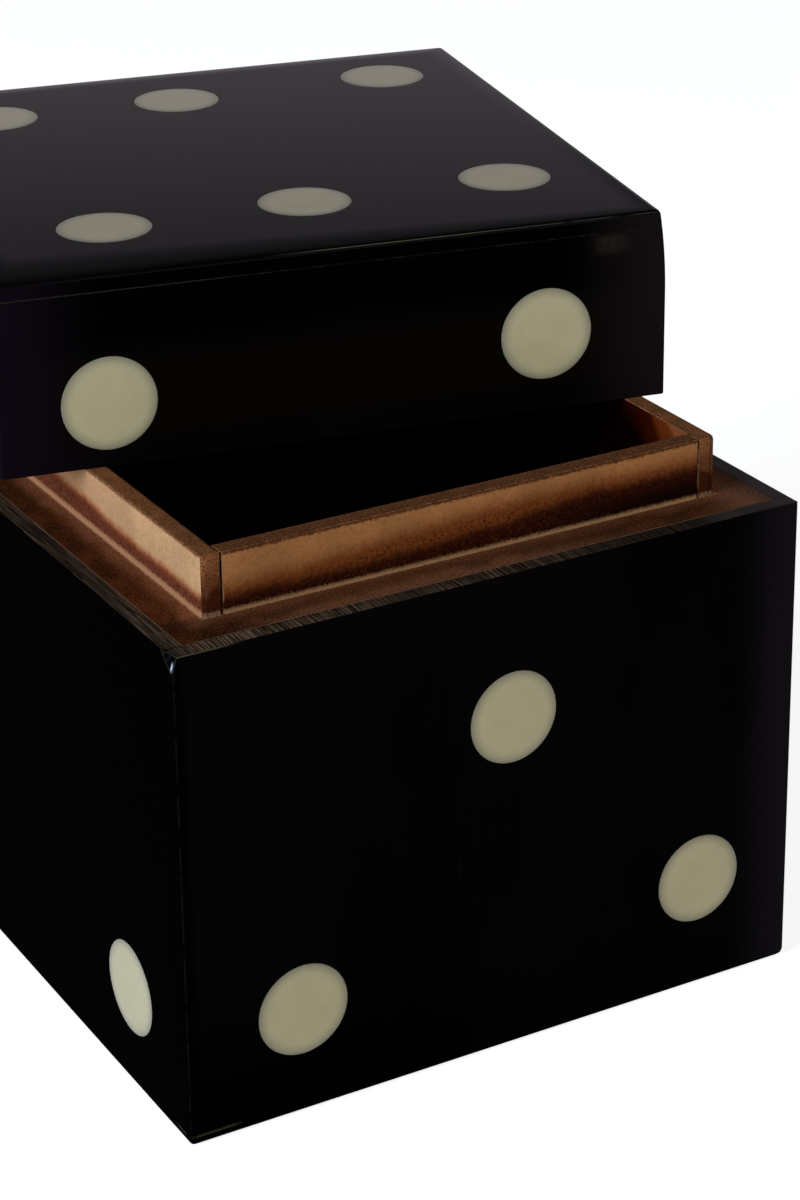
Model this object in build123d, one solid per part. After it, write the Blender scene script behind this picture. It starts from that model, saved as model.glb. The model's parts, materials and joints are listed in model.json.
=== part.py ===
from build123d import *
import os

# Dice-shaped keepsake box with a lift-off cap lid. Millimetres, +Z up, front towards -Y.
# Origin: centre of the box's underside. The lid lies askew on the box's raised lip.

# ---- driving sizes ---------------------------------------------------------------------
cube_side = 150.0            # width and depth of box and lid over the resin
box_height = 112.0           # table to the ledge that the closed lid sits on
lid_height = 43.0            # lid's rim to its top
skin_thickness = 4.0         # black resin cladding
board_thickness = 9.0        # fibreboard of the carcass
liner_thickness = 4.5        # thin boards lining the box and standing up as the lip
lip_height = 13.5            # lip above the ledge
lid_gap = 0.6                # play between the lip and the inside of the lid, each side

corner_radius = 0.8          # upright corners, rubbed down by hand
foot_radius = 2.0            # round under the bottom edge
ledge_bevel = 0.4            # cladding's edge at the ledge
chip_width = 1.1             # flake knocked off the ledge's front left corner: along the front
chip_length = 5.5            # along the left side
chip_depth = 4.4             # down the corner

rim_bevel = 0.4              # cladding's edge at the lid's rim
lean_run = 19.0              # height over which the lid's sides lean in
lean_in = 1.1                # how far they lean in at the top
roll_run = 5.0               # width of the soft fall at the edge of the lid's top
roll_drop = 0.25             # depth of that fall
top_radius = 0.9             # round between the lid's top and its sides

lip_corner_radius = 1.4      # lip's upright corners
lip_bevel = 0.6              # lip's outer top edge
mouth_bevel = 0.4            # lip's inner top edge
lip_wear = 1.8               # lip's front right corner, worn off aslant
joint_ease = 0.25            # arrises of the lining boards where two meet

pip_radius = 10.5            # cream resin discs, let in flush
pip_thickness = 2.0
glue_line = 0.05             # gap between a disc and the wall of its pocket
pip_edge_inset = 25.0        # marked places: in from the corners of a face
top_row_inset = 29.0         # rows of the six on top: in from the front and the back

lid_shift_x = 8.3            # resting lid's centre, right of the box's centre
lid_shift_y = 53.1           # resting lid's centre, behind the box's centre
lid_turn = -11.6             # resting lid's turn about +Z, in degrees

# ---- places worked out from them -------------------------------------------------------
half = cube_side / 2
carcass_half = half - skin_thickness
lining_half = carcass_half - board_thickness
cavity_half = lining_half - liner_thickness
lid_cavity_half = lining_half + lid_gap

floor_top = skin_thickness + board_thickness
lip_top = box_height + lip_height
lid_board_top = lid_height - skin_thickness
lid_ceiling = lid_board_top - board_thickness

pip_spread = half - pip_edge_inset
top_row_spread = half - top_row_inset
middle = (box_height + lid_height) / 2
low = middle - pip_spread
high_on_lid = middle + pip_spread - box_height
lid_place = Location((lid_shift_x, lid_shift_y, lip_top), (0, 0, lid_turn))

# ---- the six faces, each drawn as seen from outside with its foot at z = 0 -------------
face_planes = {
    "front": Plane((0, -half, 0), (1, 0, 0), (0, -1, 0)),
    "back": Plane((0, half, 0), (-1, 0, 0), (0, 1, 0)),
    "left": Plane((-half, 0, 0), (0, -1, 0), (-1, 0, 0)),
    "right": Plane((half, 0, 0), (0, 1, 0), (1, 0, 0)),
    "top": Plane((0, 0, lid_height), (1, 0, 0), (0, 0, 1)),
    "bottom": Plane((0, 0, 0), (1, 0, 0), (0, 0, -1)),
}

# Marked places of the discs on each face: across, then up. Opposite faces add up to seven.
box_pips = {
    "front": {
        "low_left": (-pip_spread, low),
        "low_right": (pip_spread, low),
        "centre": (0, middle),
    },
    "left": {"low_left": (-pip_spread, low), "low_right": (pip_spread, low)},
    "right": {"low_left": (-pip_spread, low), "centre": (0, middle)},
    "back": {"low_left": (-pip_spread, low)},
    "bottom": {"centre": (0, 0)},
}
lid_pips = {
    "front": {"high_left": (-pip_spread, high_on_lid), "high_right": (pip_spread, high_on_lid)},
    "left": {"high_left": (-pip_spread, high_on_lid), "high_right": (pip_spread, high_on_lid)},
    "right": {"high_right": (pip_spread, high_on_lid)},
    "back": {"high_right": (pip_spread, high_on_lid)},
    "top": {
        "front_left": (-pip_spread, -top_row_spread),
        "front_centre": (0, -top_row_spread),
        "front_right": (pip_spread, -top_row_spread),
        "back_left": (-pip_spread, top_row_spread),
        "back_centre": (0, top_row_spread),
        "back_right": (pip_spread, top_row_spread),
    },
}

# How far a disc was set by hand from its marked place: across, then up.
hand_drift = {
    "front_low_left": (1.9, -2.7),
    "front_low_right": (0.9, -0.6),
    "front_centre": (3.0, 1.5),
    "left_low_right": (-2.1, -3.4),
    "front_high_left": (-1.0, -1.2),
    "front_high_right": (-3.1, 2.2),
    "top_front_left": (6.3, 1.7),
    "top_front_centre": (2.3, 4.4),
    "top_front_right": (-0.1, 6.2),
    "top_back_left": (0.9, 1.6),
    "top_back_centre": (-3.7, 2.1),
    "top_back_right": (0.3, 5.3),
}


# ---- tools -----------------------------------------------------------------------------
def block(x, y, z):
    """A block between pairs of low and high values."""
    spans = (x, y, z)
    size = [upper - lower for lower, upper in spans]
    centre = [(upper + lower) / 2 for lower, upper in spans]
    return Pos(*centre) * Box(*size)


def four_walls(outer, inner, z, through="front"):
    """Walls round a square; the through pair and its opposite run the full width."""
    long_wall = block((-outer, outer), (-outer, -inner), z)
    short_wall = block((-inner, inner), (-outer, -inner), z)
    quarter_turns = {"front": 0, "right": 90, "back": 180, "left": -90}
    along = ("front", "back") if through == "front" else ("left", "right")
    return {
        name: Rot(0, 0, turn) * (long_wall if name in along else short_wall)
        for name, turn in quarter_turns.items()
    }


def upright_edges(form):
    """Edges on the corners of a square form, straight or leaning a little."""
    reach = form.bounding_box().max.X * 0.9
    return form.edges().filter_by(lambda e: min(abs(e.center().X), abs(e.center().Y)) > reach)


def level_edges(form, height):
    return form.edges().filter_by(lambda e: abs(e.center().Z - height) < 1e-3)


# ---- outer forms -----------------------------------------------------------------------
def box_form():
    """Outside of the clad box: round foot, rubbed corners, fine edge round the ledge."""
    form = block((-half, half), (-half, half), (0, box_height))
    form = fillet(upright_edges(form), corner_radius)
    form = fillet(level_edges(form, 0), foot_radius)
    form = chamfer(level_edges(form, box_height), ledge_bevel)
    chip_slope = (-1 / chip_width, -1 / chip_length, 1 / chip_depth)
    chip = Plane((chip_width - half, -half, box_height), z_dir=chip_slope)
    return split(form, bisect_by=chip, keep=Keep.BOTTOM)


def lid_side(shoulder):
    """Lid seen from the front: its right half, from under the middle up to the shoulder."""
    lean_start = (half, lid_height - lean_run)
    rim = Line((0, 0), (half, 0))
    return rim + Line(rim @ 1, lean_start) + TangentArc(lean_start, shoulder, tangent=(0, 1))


def crossed(right_half):
    """Closes a half outline and follows it both ways, as a mitred frame would."""
    face = make_face(right_half + mirror(right_half, Plane.YZ))
    blunt = [v for v in face.vertices() if abs(v.Y - lid_height + roll_drop) < 1e-3]
    face = fillet(blunt, top_radius) if blunt else face
    bar = extrude(Plane.XZ * face, cube_side, both=True)
    return bar & (Rot(0, 0, 90) * bar)


def lid_form():
    """Outside of the clad lid: leaning sides with rubbed corners, under a top that falls."""
    middle_top = (0, lid_height)
    sharp = (half - lean_in, lid_height)
    sides = crossed(lid_side(sharp) + Line(sharp, middle_top))
    sides = fillet(upright_edges(sides), corner_radius)
    sides = chamfer(level_edges(sides, 0), rim_bevel)
    fallen = (half - lean_in, lid_height - roll_drop)
    roll_start = (half - lean_in - roll_run, lid_height)
    roll = TangentArc(roll_start, fallen, tangent=(1, 0))
    return sides & crossed(lid_side(fallen) + roll + Line(roll_start, middle_top))


def lip_form():
    """Outside of the lining: square within the carcass, softened where it stands above."""
    inside = block((-lining_half, lining_half), (-lining_half, lining_half), (floor_top, box_height))
    lip = block((-lining_half, lining_half), (-lining_half, lining_half), (box_height, lip_top))
    lip = fillet(upright_edges(lip), lip_corner_radius)
    lip = chamfer(level_edges(lip, lip_top), lip_bevel)
    mouth = block((-cavity_half, cavity_half), (-cavity_half, cavity_half), (floor_top, lip_top))
    form = inside + lip - mouth
    rim = form.edges().filter_by(
        lambda e: abs(e.center().Z - lip_top) < 1e-3
        and max(abs(e.center().X), abs(e.center().Y)) < cavity_half + 1e-3
    )
    form = chamfer(rim, mouth_bevel)
    wear = Plane((lining_half - lip_wear, -lining_half, lip_top), z_dir=(1, -1, 1))
    return split(form, bisect_by=wear, keep=Keep.BOTTOM)


def ease_joint(board):
    """Takes the arris off a lining board where it meets its neighbour on the outside."""
    return chamfer(
        board.edges().filter_by(
            lambda e: abs(abs(e.center().X) - cavity_half) < 1e-3
            and abs(abs(e.center().Y) - lining_half) < 1e-3
        ),
        joint_ease,
    )


# ---- discs and their pockets -----------------------------------------------------------
def disc_places(marked):
    """Name and place of every disc of a table, with its hand drift."""
    places = {}
    for face, spots in marked.items():
        for spot, (across, up) in spots.items():
            name = f"{face}_{spot}"
            drift = hand_drift.get(name, (0, 0))
            places[name] = face_planes[face] * Pos(across + drift[0], up + drift[1])
    return places


def disc(place):
    """A disc let in behind its face."""
    return place * Pos(0, 0, -pip_thickness / 2) * Cylinder(pip_radius, pip_thickness)


def pocket(place):
    """A blind pocket for a disc, open well beyond its face."""
    depth = 2 * pip_thickness
    return place * Cylinder(pip_radius + glue_line, depth)


# ---- the box ---------------------------------------------------------------------------
def clad(form, boards, pips):
    """Cuts the skins to the outer form and lets the pockets into them."""
    pockets = {name: pocket(place) for name, place in disc_places(pips).items()}
    skins = {}
    for face, board in boards.items():
        skin = board & form
        for name, hole in pockets.items():
            if name.startswith(face):
                skin -= hole
        skins[f"skin_{face}"] = skin
    return skins


def box_parts():
    form = box_form()
    upright = (0, box_height)
    skins = four_walls(half, carcass_half, upright)
    inner = (-carcass_half, carcass_half)
    skins["bottom"] = block(inner, inner, (0, skin_thickness))
    parts = clad(form, skins, box_pips)

    walls = four_walls(carcass_half, lining_half, (skin_thickness, box_height))
    parts |= {f"carcass_{face}": wall for face, wall in walls.items()}
    inner = (-lining_half, lining_half)
    parts["carcass_floor"] = block(inner, inner, (skin_thickness, floor_top))

    lining = lip_form()
    liners = four_walls(lining_half, cavity_half, (floor_top, lip_top), through="left")
    parts |= {f"liner_{face}": ease_joint(board) & lining for face, board in liners.items()}
    inner = (-cavity_half, cavity_half)
    parts["liner_floor"] = block(inner, inner, (floor_top, floor_top + liner_thickness))

    for name, place in disc_places(box_pips).items():
        parts[f"pip_{name}"] = disc(place) & form
    return parts


def lid_parts():
    form = lid_form()
    skins = four_walls(half, carcass_half, (0, lid_board_top))
    outer = (-half, half)
    skins["top"] = block(outer, outer, (lid_board_top, lid_height))
    parts = clad(form, skins, lid_pips)
    parts = {f"lid_{name}": skin for name, skin in parts.items()}

    walls = four_walls(carcass_half, lid_cavity_half, (0, lid_ceiling))
    parts |= {f"lid_wall_{face}": wall for face, wall in walls.items()}
    inner = (-carcass_half, carcass_half)
    parts["lid_board_top"] = block(inner, inner, (lid_ceiling, lid_board_top))

    for name, place in disc_places(lid_pips).items():
        parts[f"pip_{name}"] = disc(place) & form
    return {name: lid_place * part for name, part in parts.items()}


# ---- one file for each part ------------------------------------------------------------
os.makedirs("parts", exist_ok=True)
for name, part in (box_parts() | lid_parts()).items():
    solid = part.solid()
    solid.label = name
    export_step(solid, f"parts/{name}.step")
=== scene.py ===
"""Dresses a dice-shaped keepsake box: resin sheets, let-in pips, lip boards, stained board, studio."""
import json
import math

import bmesh
import bpy
from mathutils import Matrix, Vector


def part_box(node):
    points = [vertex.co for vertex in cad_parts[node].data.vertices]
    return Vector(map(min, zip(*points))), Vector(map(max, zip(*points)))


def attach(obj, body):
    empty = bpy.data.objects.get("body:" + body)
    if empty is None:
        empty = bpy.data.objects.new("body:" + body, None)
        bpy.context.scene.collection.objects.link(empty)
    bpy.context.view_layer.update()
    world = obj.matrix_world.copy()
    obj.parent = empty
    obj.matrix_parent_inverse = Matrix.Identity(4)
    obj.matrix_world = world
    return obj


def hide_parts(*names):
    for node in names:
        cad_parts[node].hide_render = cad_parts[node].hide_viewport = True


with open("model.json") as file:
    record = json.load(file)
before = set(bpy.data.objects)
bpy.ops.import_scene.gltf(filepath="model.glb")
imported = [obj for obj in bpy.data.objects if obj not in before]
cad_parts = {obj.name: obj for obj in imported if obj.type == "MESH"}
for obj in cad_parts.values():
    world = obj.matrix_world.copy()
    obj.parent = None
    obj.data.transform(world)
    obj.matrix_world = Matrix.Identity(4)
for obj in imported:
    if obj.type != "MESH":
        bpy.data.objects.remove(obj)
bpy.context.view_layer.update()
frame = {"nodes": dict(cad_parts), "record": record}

bl_info = {
    "name": "Dice Box",
    "version": (1, 0, 0),
    "blender": (4, 5, 0),
    "location": "View3D > Sidebar > Dice Box",
    "description": "Dresses a dice-shaped keepsake box with a lift-off lid",
    "category": "Add Mesh",
}

MM = 0.001


# ---- sizes read from the frame ----------------------------------------------------------
def middle_of(node):
    """Middle of a node's box."""
    low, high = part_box(node)
    return (low + high) / 2


FRONT_LOW, FRONT_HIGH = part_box("skin_front")
HALF = FRONT_HIGH.x
SKIN = FRONT_HIGH.y - FRONT_LOW.y
LEDGE = FRONT_HIGH.z
LINING_LOW, LINING_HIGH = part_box("liner_left")
LINING_HALF = -LINING_LOW.x
LINER = LINING_HIGH.x - LINING_LOW.x
LIP_TOP = LINING_HIGH.z
LID_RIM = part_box("lid_wall_front")[0].z
LID_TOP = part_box("lid_skin_top")[1].z
LID_MIDDLE = Vector((middle_of("lid_skin_top").x, middle_of("lid_skin_top").y, LID_RIM))
LID_HEIGHT = LID_TOP - LID_RIM
INNER = HALF - SKIN
LIP_HEIGHT = LIP_TOP - LEDGE
JOINT = LINING_HALF - LINER
LIP_WEAR = 1.8 * MM
LIP_ROUND = 1.4 * MM
LIP_TOP_ROUND = 0.42 * LIP_ROUND
JOINT_EASE = 0.25 * MM
PIP_DEPTH = 2.0 * MM
SIDES = ("front", "back", "left", "right")
TINY = 1e-6


# ---- what a user may change -------------------------------------------------------------
def length(name, description, value):
    return bpy.props.FloatProperty(
        name=name, description=description, default=value, min=0.0, unit="LENGTH", precision=5
    )


def colour(name, description, value):
    return bpy.props.FloatVectorProperty(
        name=name, description=description, default=value, min=0.0, max=1.0, size=3, subtype="COLOR"
    )


class DICEBOX_PG_sizes(bpy.types.PropertyGroup):
    corner_radius: length("Corner radius", "Round of the upright corners", 0.8 * MM)
    foot_radius: length("Foot radius", "Round under the box", 2.0 * MM)
    ledge_bevel: length("Ledge bevel", "Fine edge of the resin round the ledge", 0.4 * MM)
    lean_run: length("Lean run", "Height over which the lid's sides lean in", 19.0 * MM)
    lean_in: length("Lean in", "How far the lid's sides lean in at the top", 1.1 * MM)
    roll_run: length("Roll run", "Width of the soft fall at the edge of the lid's top", 5.0 * MM)
    roll_drop: length("Roll drop", "Depth of the fall at the edge of the lid's top", 0.25 * MM)
    fall_left: length("Fall at the left", "Width of the front edge's fall at its left end", 15.0 * MM)
    fall_right: length("Fall at the right", "Width of the front edge's fall at its right end", 3.0 * MM)
    top_radius: length("Top radius", "Round between the lid's top and its sides", 0.9 * MM)
    seam: length("Seam", "Open groove between two resin sheets", 0.12 * MM)
    pip_gap: length("Pip gap", "Glue line round a pip", 0.05 * MM)
    pip_rim: length("Pip rim", "Soft edge of a pip", 0.25 * MM)
    pip_soft: length("Pip soft", "Width over which a pip greys towards its edge", 2.6 * MM)
    lid_turn: bpy.props.FloatProperty(
        name="Lid turn", description="How far the resting lid is turned", subtype="ANGLE",
        default=math.radians(-11.6),
    )


class DICEBOX_PG_colours(bpy.types.PropertyGroup):
    black: colour("Black", "Polished black resin", (0.0020, 0.0014, 0.0015))
    cream: colour("Cream", "Cream resin of the pips", (0.53, 0.456, 0.262))
    rubbed: colour("Rubbed", "Resin rubbed through along an arris", (0.085, 0.076, 0.046))
    sawn: colour("Sawn edge", "Sanded edge of the resin round the ledge", (0.078, 0.050, 0.030))
    stain: colour("Stain", "Red-brown stain on the ledge", (0.074, 0.0185, 0.0045))
    tan: colour("Tan", "Pale outer face of the lip's side boards", (0.65, 0.352, 0.167))
    copper: colour("Copper", "Outer face of the lip's front and back boards", (0.43, 0.180, 0.062))
    top: colour("Lip top", "Brown top of the lip boards", (0.26, 0.098, 0.036))
    # The well colour is the lit inside of the lip; painted shade runs from it down to black.
    well: colour("Well", "Inside of the lip at its top", (0.150, 0.027, 0.004))


# ---- picking and shaping ----------------------------------------------------------------
def deselect():
    for thing in bpy.context.selected_objects:
        thing.select_set(False)


def make_active(thing):
    deselect()
    thing.select_set(True)
    bpy.context.view_layer.objects.active = thing


def edit(thing):
    """Enters edit mode with nothing picked and returns the edit mesh."""
    make_active(thing)
    bpy.ops.object.mode_set(mode="EDIT")
    bpy.ops.mesh.select_all(action="DESELECT")
    return bmesh.from_edit_mesh(thing.data)


def leave_edit():
    bpy.ops.object.mode_set(mode="OBJECT")


def pick_faces(mesh, wanted):
    """Picks the wanted faces of an edit mesh and nothing else."""
    bpy.ops.mesh.select_mode(type="FACE")
    for face in mesh.faces:
        face.select_set(bool(wanted(face)))
    mesh.select_flush_mode()


def pick_edges(mesh, wanted):
    """Picks the wanted edges of an edit mesh and nothing else."""
    bpy.ops.mesh.select_mode(type="EDGE")
    for edge in mesh.edges:
        edge.select_set(bool(wanted(edge)))
    mesh.select_flush_mode()


def edge_middle(edge):
    return (edge.verts[0].co + edge.verts[1].co) / 2


def near(a, b, within=0.02 * MM):
    return abs(a - b) < within


def upright(edge):
    """An edge on a corner of a square form, straight or leaning a little."""
    a, b = (vert.co for vert in edge.verts)
    on_corner = all(near(abs(p.x), abs(p.y)) and abs(p.x) > HALF * 0.9 for p in (a, b))
    return on_corner and not near(a.z, b.z, TINY)


def level_at(height):
    """A test for edges that lie level at a height."""
    return lambda edge: all(near(vert.co.z, height) for vert in edge.verts)


def apply_place(thing):
    """Moves a piece's place, turn and scale into its mesh."""
    make_active(thing)
    bpy.ops.object.transform_apply(location=True, rotation=True, scale=True)


def block(name, low, high):
    """A block between two corners, with its place in its mesh."""
    low, high = Vector(low), Vector(high)
    deselect()
    bpy.ops.mesh.primitive_cube_add(size=1, location=(low + high) / 2)
    thing = bpy.context.active_object
    thing.name = name
    thing.scale = high - low
    apply_place(thing)
    return thing


def apply_modifier(thing, kind, **settings):
    """Adds a modifier and makes its work part of the mesh."""
    make_active(thing)
    modifier = thing.modifiers.new(kind.title(), kind)
    for key, value in settings.items():
        setattr(modifier, key, value)
    bpy.ops.object.modifier_apply(modifier=modifier.name)


def ease(thing, width, segments):
    """Rounds a piece's weighed edges, each by its share of the width."""
    apply_modifier(
        thing, "BEVEL", width=width, segments=segments, limit_method="WEIGHT", use_clamp_overlap=False
    )


def smooth(thing):
    """Smooth shading that leaves flat faces flat."""
    make_active(thing)
    sharpest = math.radians(40)
    bpy.ops.object.shade_smooth_by_angle(angle=sharpest, keep_sharp_edges=True)
    apply_modifier(thing, "WEIGHTED_NORMAL", keep_sharp=True, weight=100)


def copy_of(thing, name):
    """A copy of a piece with a mesh of its own."""
    twin = thing.copy()
    twin.data = thing.data.copy()
    twin.name = name
    twin.data.name = name
    bpy.context.scene.collection.objects.link(twin)
    return twin


def remove(thing):
    bpy.data.meshes.remove(thing.data)


def keep_beyond(thing, point, normal):
    """Saws a closed form at a plane and keeps the side that the normal points to."""
    edit(thing)
    bpy.ops.mesh.select_all(action="SELECT")
    bpy.ops.mesh.bisect(
        plane_co=point, plane_no=normal, use_fill=True, clear_inner=True, clear_outer=False
    )
    leave_edit()


def paint_faces(thing, index, wanted):
    """Gives the wanted faces a material of the piece, by its number."""
    for face in thing.data.polygons:
        if wanted(face):
            face.material_index = index


# ---- materials --------------------------------------------------------------------------
def chosen(name):
    """A colour that the user may change."""
    return Vector(getattr(bpy.context.scene.dicebox_colours, name))


def plug(node, inputs):
    """Sets a node's inputs, each to a value, a socket or a measure."""
    for key, value in inputs.items():
        value = value.socket if isinstance(value, Measure) else value
        if isinstance(value, bpy.types.NodeSocket):
            node.id_data.links.new(value, node.inputs[key])
        else:
            node.inputs[key].default_value = value


def add_node(tree, kind, inputs=None, **settings):
    """Adds a node with its inputs and its own settings."""
    node = tree.nodes.new(kind)
    for key, value in settings.items():
        setattr(node, key, value)
    plug(node, inputs or {})
    return node


def blend(tree, share, a, b):
    """Blends two colours, each a tuple, a vector or a socket."""
    inputs = {0: share}
    for number, tint in ((6, a), (7, b)):
        inputs[number] = tint if isinstance(tint, bpy.types.NodeSocket) else (*tint, 1.0)
    return add_node(tree, "ShaderNodeMix", inputs, data_type="RGBA").outputs[2]


class Measure:
    """A number that the nodes of a material or of the world work out at each point."""

    def __init__(self, socket):
        self.socket = socket
        self.tree = socket.id_data

    def maths(self, operation, other=0.0):
        node = add_node(self.tree, "ShaderNodeMath", {0: self, 1: other}, operation=operation)
        return Measure(node.outputs[0])

    def __add__(self, other):
        return self.maths("ADD", other)

    def __sub__(self, other):
        return self.maths("SUBTRACT", other)

    def __mul__(self, other):
        return self.maths("MULTIPLY", other)

    def __abs__(self):
        return self.maths("ABSOLUTE")

    def larger(self, other):
        return self.maths("MAXIMUM", other)

    def smaller(self, other):
        return self.maths("MINIMUM", other)

    def fade(self, start, end, low=0.0, high=1.0):
        """Runs smoothly from low to high as the measure goes from start to end."""
        inputs = {"Value": self, "From Min": start, "From Max": end, "To Min": low, "To Max": high}
        node = add_node(self.tree, "ShaderNodeMapRange", inputs, interpolation_type="SMOOTHSTEP")
        return Measure(node.outputs[0])

    def near(self, at, half_width):
        """1 at a value, falling to 0 at half a width from it."""
        return abs(self - at).fade(0.0, half_width, 1.0, 0.0)

    def swing(self, amount):
        """Noise turned into a length of up to half the amount either way."""
        return (self - 0.5) * amount


class Finish:
    """A material in the making: the place on its piece, in metres, and the colour so far.

    On the lid, the place is told from the lid's own middle and by its own turn.
    """

    def __init__(self, name, on_lid=False):
        self.material = bpy.data.materials.new(name)
        self.material.use_nodes = True
        self.tree = self.material.node_tree
        self.base = None
        self.place = add_node(self.tree, "ShaderNodeTexCoord").outputs["Object"]
        if on_lid:
            turn = -bpy.context.scene.dicebox_sizes.lid_turn
            move = -(Matrix.Rotation(turn, 3, "Z") @ LID_MIDDLE)
            inputs = {"Vector": self.place, "Location": move, "Rotation": (0.0, 0.0, turn)}
            self.place = add_node(self.tree, "ShaderNodeMapping", inputs).outputs[0]

    def axes(self):
        split = add_node(self.tree, "ShaderNodeSeparateXYZ", {0: self.place})
        return [Measure(socket) for socket in split.outputs]

    def grain(self, scale, detail=3, roughness=0.6):
        """Noise about 0.5. Its scale, in features per metre, is one number or one for each axis."""
        scale = scale if isinstance(scale, tuple) else (scale,) * 3
        spread = add_node(
            self.tree, "ShaderNodeVectorMath", {0: self.place, 1: scale}, operation="MULTIPLY"
        )
        inputs = {"Vector": spread.outputs[0], "Scale": 1.0, "Detail": detail, "Roughness": roughness}
        return Measure(add_node(self.tree, "ShaderNodeTexNoise", inputs).outputs[0])

    def first_coat(self, share, a, b):
        """Starts the colour with a blend of two."""
        self.base = blend(self.tree, share, a, b)

    def coat(self, share, tint):
        """Lays a colour over the one so far, by its share at each point."""
        self.base = blend(self.tree, share, self.base, tint)

    def done(self, roughness, specular, height=None, depth=0.0, strength=1.0):
        """Sets the surface, with a relief where a height is given, and returns the material."""
        surface = {"Base Color": self.base, "Roughness": roughness, "Specular IOR Level": specular}
        if height is not None:
            relief = {"Height": height, "Distance": depth, "Strength": strength}
            surface["Normal"] = add_node(self.tree, "ShaderNodeBump", relief).outputs[0]
        plug(self.tree.nodes["Principled BSDF"], surface)
        return self.material


DEEP_BLACK = (0.0004, 0.0003, 0.0004)
VIOLET_TINGE = Vector((0.0002, 0.0, 0.0006))
BOX_CORNER_SHEEN = (0.0105, 0.0085, 0.0105)
ARRIS_HIGHLIGHT = (0.009, 0.009, 0.008)
BROWN_BAND = (0.0032, 0.0022, 0.0012)
LEFT_CORNER_SHEEN = (0.0066, 0.0038, 0.0070)
RIGHT_CORNER_SHEEN = (0.0100, 0.0070, 0.0078)
SMEAR = (0.031, 0.022, 0.0135)
BREAK_RIPPLE_REFLECTION = (0.006, 0.008, 0.015)
BREAK_GLINT = (0.62, 0.66, 0.78)
DULL_STRIP = (0.036, 0.029, 0.026)


def start_resin(name, on_lid):
    """Polished black resin with cloudy depth. Returns its upright hairlines too."""
    black = chosen("black")
    finish = Finish(name, on_lid)
    hairlines = finish.grain((2600, 2600, 30), 2)
    clouds = finish.grain((22, 22, 14), 3)
    finish.first_coat(clouds.fade(0.35, 0.65), black * 0.8, black * 1.6)
    finish.coat(hairlines.fade(0.45, 0.75), black * 1.6 + VIOLET_TINGE)
    return finish, hairlines


def polish(finish, hairlines, rubbed, specular):
    """The resin's polish, duller along its hairlines and where it is rubbed."""
    roughness = hairlines.fade(0.3, 0.8, 0.07, 0.16) + rubbed * 0.4
    return finish.done(roughness, specular, hairlines, 0.02 * MM, 0.12)


def near_corner(x, y, start):
    """Rises from 0 to 1 between a distance from the middle and an upright corner."""
    return abs(x).smaller(abs(y)).fade(start, HALF)


def box_resin():
    """Resin of the box, rubbed at its front left corner, with painted shade on its left side and low
    down towards the left, a painted sheen at its right corners and painted highlights along its foot
    and upright corners.
    """
    finish, hairlines = start_resin("box_resin", False)
    x, y, z = finish.axes()
    # Painted shade: the left side deep black.
    finish.coat(x.fade(-INNER, -HALF), DEEP_BLACK)
    # Painted shade, low down and towards the left.
    finish.coat(z.fade(34 * MM, 4 * MM) * x.fade(45 * MM, -40 * MM), DEEP_BLACK)
    # Painted sheen at the right corners.
    finish.coat(near_corner(x, y, 58 * MM) * x.fade(0.0, 30 * MM), BOX_CORNER_SHEEN)
    breaks = finish.grain(160, 4).fade(0.40, 0.54)
    by_corner = x.fade(-HALF + 16 * MM, -HALF + 9 * MM)
    by_arris = y.fade(-HALF + 9 * MM, -HALF + 4 * MM)
    # Painted highlight on the round of the foot at the front left corner, in the rubbed colour.
    foot_highlight = z.near(2.6 * MM, 0.5 * MM) * by_corner * by_arris * breaks
    ledge_line = z.near(LEDGE - 0.25 * MM, 0.22 * MM) * by_corner * y.fade(-INNER, -HALF)
    finish.coat(foot_highlight, chosen("rubbed") * 0.45)
    finish.coat(ledge_line, chosen("rubbed"))
    # Painted highlight up the upright corners, broken in places.
    finish.coat(near_corner(x, y, HALF - 0.6 * MM) * breaks, ARRIS_HIGHLIGHT)
    return polish(finish, hairlines, ledge_line, 0.0002)


def lid_resin():
    """Resin of the lid's sides, with a painted violet sheen at the corners, a brownish band low down,
    painted shade towards the top and a smeared patch.
    """
    finish, hairlines = start_resin("lid_resin", True)
    x, y, z = finish.axes()
    # Painted shade, deepening towards the top of the sides.
    finish.coat(z.fade(22 * MM, 30 * MM, 0.0, 0.9), DEEP_BLACK)
    # A brownish band low on the sides.
    finish.coat(z.fade(28 * MM, 20 * MM) * z.fade(3 * MM, 8 * MM), BROWN_BAND)
    # Painted violet sheen at the corners.
    corner_sheen = blend(finish.tree, x.fade(0.0, 20 * MM), LEFT_CORNER_SHEEN, RIGHT_CORNER_SHEEN)
    finish.coat(near_corner(x, y, 50 * MM), corner_sheen)
    patch = abs(x - 62 * MM).fade(6 * MM, 1 * MM) * abs(z - 36.5 * MM).fade(3 * MM, 1 * MM)
    finish.coat(patch * hairlines.fade(0.30, 0.65, 0.3, 1.0) * 0.6, SMEAR)
    return polish(finish, hairlines, 0.0, 0.0005)


def lid_top_resin():
    """Resin of the lid's top sheet, polished brighter, with its arris rubbed thin."""
    finish, hairlines = start_resin("lid_top_resin", True)
    x, _, z = finish.axes()
    breaks = finish.grain(90, 5).fade(0.32, 0.48)
    along = x.fade(-18 * MM, 2 * MM) * x.fade(25 * MM, 48 * MM, 1.0, 0.55)
    rubbed = z.near(LID_HEIGHT - 0.62 * MM, 0.12 * MM) * breaks * along
    finish.coat(rubbed, chosen("rubbed") * 1.3)
    return polish(finish, hairlines, rubbed, 0.0143)


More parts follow.
